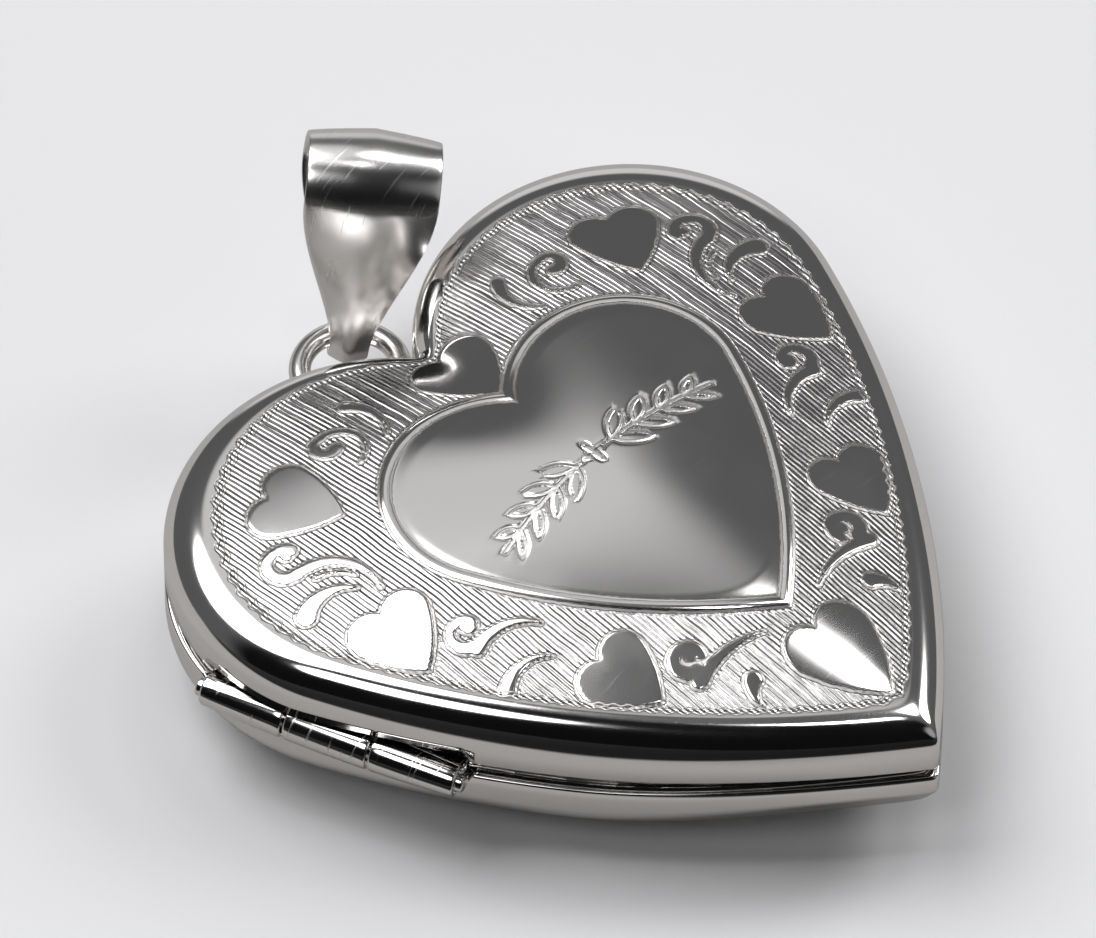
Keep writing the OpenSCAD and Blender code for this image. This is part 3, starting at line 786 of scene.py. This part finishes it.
def engraved_silver():
    """Polished silver with a ruled, brightly cut ground round the hearts and scrolls, and painted shade
    that darkens the ground and the cut lines.
    """
    material, shader, n, position = new_material("engraved_silver")
    rough, scratch = polish(n, position, roughness=0.09, haze=0.03, scratches=0.02)
    motif, border = n.attribute("motif"), n.attribute("border")
    inset, spray = n.attribute("inset"), n.attribute("spray")
    split = n.put("ShaderNodeSeparateXYZ", {0: position})
    # ruled lines along the heart, each wandering a little and cut to its own depth
    bend = n.noise(position, 700.0, 2.0)
    across = n.math("DIVIDE", split.outputs[0], LINE_PITCH * MM)
    across = n.math("ADD", across, n.math("MULTIPLY", bend, 1.1))
    wave = n.math("SINE", n.math("MULTIPLY", across, 2 * math.pi))
    line = n.math("FLOOR", n.math("ADD", across, 0.25))
    own = n.put("ShaderNodeTexWhiteNoise", {"W": line}, noise_dimensions="1D").outputs["Value"]
    along = n.put("ShaderNodeMapping", {0: position, 3: (7000.0, 900.0, 900.0)}).outputs[0]
    chatter = n.noise(along, 1.0, 3.0)
    ruled = n.math("MULTIPLY", wave, n.math("ADD", 0.45, n.math("MULTIPLY", own, 0.75)))
    ruled = n.math("ADD", ruled, n.math("MULTIPLY", n.math("SUBTRACT", chatter, 0.5), 1.6))
    # where the ground is
    turn = n.math("MULTIPLY", n.math("ARCTAN2", n.math("SUBTRACT", split.outputs[1], MIDDLE_Y * MM),
                                     split.outputs[0]), WRIGGLES)
    wriggle = n.math("MULTIPLY", n.math("SINE", turn), WRIGGLE)
    edge = n.math("ADD", inset, wriggle)
    ground = n.step(edge, ZONE_INSET + 0.02, ZONE_INSET + 0.08)
    ground = n.math("MULTIPLY", ground, n.step(border, 0.33, 0.38))
    ground = n.math("MULTIPLY", ground, n.step(motif, 0.0, 0.05))
    # cut lines: round each motif, along the zone's edge, and two round the centre heart
    in_zone = n.math("MULTIPLY", n.step(inset, ZONE_INSET, ZONE_INSET + 0.1), n.step(border, 0.2, 0.3))
    lines = n.math("MULTIPLY", graver(n, position, motif, place=0.03, half=0.05, waver=0.018), in_zone)
    for distance, place, half in ((edge, ZONE_INSET + 0.05, 0.05), (edge, ZONE_INSET + 0.2, 0.035),
                                  (border, 0.02, 0.04), (border, 0.33, 0.045)):
        lines = n.math("MAXIMUM", lines, graver(n, position, distance, place, half, 0.012))
    # the spray: double lines with a bright rib between
    inner = n.step(border, -0.5, -0.4, 1.0, 0.0)
    spray_line = n.math("MULTIPLY", graver(n, position, spray, place=0.045, half=0.03, waver=0.006), inner)
    spray_rib = n.math("MULTIPLY", graver(n, position, spray, place=-0.03, half=0.05, waver=0.01), inner)
    lines = n.math("MAXIMUM", lines, spray_line)
    height = n.math("MULTIPLY", n.math("MULTIPLY", ruled, 0.3), ground)
    height = n.math("SUBTRACT", height, n.math("MULTIPLY", lines, 1.4))
    height = n.math("ADD", height, n.math("MULTIPLY", spray_rib, 0.7))
    height = n.math("ADD", height, n.math("MULTIPLY", scratch, 0.08))
    link_bump(n, shader, height, CUT_DEPTH)
    matte = n.math("MAXIMUM", n.math("MULTIPLY", ground, 0.12), n.math("MULTIPLY", lines, 0.2))
    matte = n.math("MAXIMUM", matte, n.math("MULTIPLY", spray_rib, 0.16))
    n.tree.links.new(n.math("ADD", rough, matte), shader.inputs["Roughness"])
    # Painted shade: the cut lines' base colour darker, in two steps
    shade = n.colour(n.math("MULTIPLY", lines, 0.45), SILVER, CUT_PAINTED_SHADE)
    # Painted shade: the ruled ground's base colour darker
    shade = n.colour(n.math("MULTIPLY", ground, 0.9), shade, GROUND_PAINTED_SHADE)
    shade = n.colour(n.math("MULTIPLY", lines, 0.55), shade, CUT_PAINTED_SHADE_DEEP)
    n.tree.links.new(shade, shader.inputs["Base Color"])
    return material


def clear_plastic():
    """Thin clear plastic, with a faint haze."""
    material, shader, n, position = new_material("clear_plastic", 0.0, (0.97, 0.98, 0.99, 1.0))
    facing = n.put("ShaderNodeFresnel", {"IOR": 1.45}).outputs[0]
    n.tree.links.new(n.math("ADD", n.math("MULTIPLY", facing, 0.9), 0.05), shader.inputs["Alpha"])
    haze = n.noise(position, 300.0, 3.0)
    n.tree.links.new(n.step(haze, 0.3, 0.8, 0.03, 0.1), shader.inputs["Roughness"])
    return material


def photo_paper():
    """A blank paper insert: warm white, with a faint fibre."""
    material, shader, n, position = new_material("photo_paper", 0.0, (0.7, 0.69, 0.66, 1.0))
    fibre = n.noise(position, 3500.0, 4.0)
    n.tree.links.new(n.colour(n.step(fibre, 0.3, 0.7), (0.66, 0.65, 0.62, 1.0), (0.74, 0.73, 0.7, 1.0)),
                     shader.inputs["Base Color"])
    shader.inputs["Roughness"].default_value = 0.7
    link_bump(n, shader, fibre, 0.004)
    return material


def paint(piece, material):
    """Gives every material slot of a piece the same material."""
    if not piece.material_slots:
        piece.data.materials.append(material)
    for slot in piece.material_slots:
        slot.material = material


# ---------------------------------------------------------------- camera, floor and light
def add_camera():
    """A long lens that looks down across the hinge side of the front."""
    azimuth, elevation = math.radians(-46.82), math.radians(50.73)
    distance, lens, sensor = 400.0, 525.2, 36.0
    right_of_heart, below_lobes = 0.998, 0.75
    across = np.array([math.cos(azimuth), math.sin(azimuth), 0.0])
    back = np.array([math.sin(azimuth) * math.cos(elevation), -math.cos(azimuth) * math.cos(elevation),
                     math.sin(elevation)])
    upward = np.cross(back, across)
    target = np.array([0.0, LOBE_Y, FRONT_BAND_TOP]) + right_of_heart * across - below_lobes * upward
    data = bpy.data.cameras.new("camera")
    data.lens, data.sensor_width = lens, sensor
    data.clip_start, data.clip_end = 0.01, 10.0
    camera = bpy.data.objects.new("camera", data)
    place = (target + distance * back) * MM
    turned_and_placed = np.column_stack([across, upward, back, place])
    camera.matrix_world = Matrix([*turned_and_placed.tolist(), [0, 0, 0, 1]])
    bpy.context.scene.collection.objects.link(camera)
    bpy.context.scene.camera = camera


TABLETOP = (0.8, 0.8, 0.81, 1.0)
# Painted shade: the floor's colour in reflections only, darker than the camera sees it
TABLETOP_PAINTED_SHADE = (0.39, 0.38, 0.37, 1.0)
# Painted dark reflection: black floor colour in reflections beyond a line on the lens side
PAINTED_DARK_REFLECTION = (0.005, 0.005, 0.005, 1.0)
DARK_REFLECTION_FADE, DARK_REFLECTION_END = -11.2, -12.6


def add_floor():
    """A wide, pale tabletop just under the back's flat. What the silver mirrors of it is painted shade,
    darker than the camera sees it, and on the lens side it turns to a painted dark reflection a short way
    off."""
    half, z = 600.0, -0.002
    points = [[-half, -half, z], [half, -half, z], [half, half, z], [-half, half, z]]
    floor = make_piece("floor", points, [[0, 1, 2, 3]], None, None, smooth=False)
    material, shader, n, position = new_material("pale_tabletop", 0.0, TABLETOP)
    shader.inputs["Roughness"].default_value = 0.6
    shader.inputs["Specular IOR Level"].default_value = 0.2
    away_from_lens = (0.729, 0.684, 0.0)
    # Painted dark reflection: past this line on the lens side, reflections see the floor as black
    beyond = n.step(n.dot(position, away_from_lens), DARK_REFLECTION_END * MM, DARK_REFLECTION_FADE * MM, 1.0, 0.0)
    # Painted shade: reflections see the floor darker than the camera does
    mirrored = n.put("ShaderNodeLightPath").outputs["Is Glossy Ray"]
    pale = n.colour(mirrored, TABLETOP, TABLETOP_PAINTED_SHADE)
    n.tree.links.new(n.colour(n.math("MULTIPLY", beyond, mirrored), pale, PAINTED_DARK_REFLECTION),
                     shader.inputs["Base Color"])
    paint(floor, material)


# Light and dark areas of the studio, each over the ones before it: azimuth from +X, elevation,
# half angle, width of its soft edge, brightness
AREAS = [
    ("backdrop", 44, 0, 17, 7, 0.6),
    ("lens_side", -137, 20, 62, 14, 0.004),
    ("glow", 52, 54, 6, 8, 0.56),
    ("right_wall", -78, 30, 14, 14, 0.3),
    ("right_lamp", -14, 42, 11.5, 3, 5.5),
    ("side_window", -174, 55, 10, 3, 3.0),
    ("window", 105, 60, 20, 2.5, 4.7),
    ("second", 8, 64, 6.5, 3, 4.5),
    ("glint", -52, 85, 2.2, 1.5, 9.0),
]


WALLS = 0.09
BACKDROP_SEEN = 0.8


def add_studio():
    """The studio round the locket: dim walls, a large window of light on the left, small lamps
    and a dark lens side. The camera itself sees a plain pale backdrop."""
    world = bpy.data.worlds.new("studio")
    world.use_nodes = True
    bpy.context.scene.world = world
    n = Nodes(world.node_tree)
    direction = n.put("ShaderNodeTexCoord").outputs["Generated"]
    light = WALLS
    for _, azimuth, elevation, half, soft, brightness in AREAS:
        a, e = math.radians(azimuth), math.radians(elevation)
        centre = (math.cos(a) * math.cos(e), math.sin(a) * math.cos(e), math.sin(e))
        outer, inner = math.cos(math.radians(half + soft)), math.cos(math.radians(half))
        mask = n.step(n.dot(direction, centre), outer, inner)
        light = n.put("ShaderNodeMix", {0: mask, 2: light, 3: brightness}, data_type="FLOAT").outputs[0]
    seen = n.put("ShaderNodeLightPath").outputs["Is Camera Ray"]
    strength = n.put("ShaderNodeMix", {0: seen, 2: light, 3: BACKDROP_SEEN}, data_type="FLOAT").outputs[0]
    background = world.node_tree.nodes["Background"]
    background.inputs["Color"].default_value = (0.99, 0.99, 1.0, 1.0)
    world.node_tree.links.new(strength, background.inputs["Strength"])
    bpy.context.scene.view_settings.view_transform = "Standard"


# ---------------------------------------------------------------- assembly
add_camera()
add_floor()
add_studio()

plain = polished_silver("polished_silver")
satin = polished_silver("rim_silver", roughness=0.14, scratches=0.05, colour=(0.88, 0.865, 0.85, 1.0))
drawn = polished_silver("hinge_silver", 0.1, haze=0.08, scratches=0.25, colour=(0.9, 0.885, 0.87, 1.0))
bright = polished_silver("bail_silver", roughness=0.2, haze=0.05, scratches=0.08)
plastic, paper = clear_plastic(), photo_paper()

paint(engraved_front(), engraved_silver())
paint(polished_back(), plain)
paint(photo_frame("front_frame", "front_photo_frame", "front"), satin)
paint(photo_frame("back_frame", "back_photo_frame", "back"), satin)
paint(knuckle("knuckle_upper", "hinge_knuckle_upper", 1, "front", 1, 0.27), drawn)
paint(knuckle("knuckle_middle", "hinge_knuckle_middle", 0, "back", -1, 0.25), drawn)
paint(knuckle("knuckle_lower", "hinge_knuckle_lower", -1, "front", 1, 0.27), drawn)
paint(pin(), drawn)
paint(tongue(), satin)
paint(fixed_loop(), bright)
paint(bail(), bright)
for node in ("front_rim", "back_rim"):
    paint(frame["nodes"][node], satin)
for half in ("front", "back"):
    paint(insert(half + "_cover", half + "_photo_cover", half, "clear_cover"), plastic)
    paint(insert(half + "_paper", half + "_photo", half, "photo_paper"), paper)
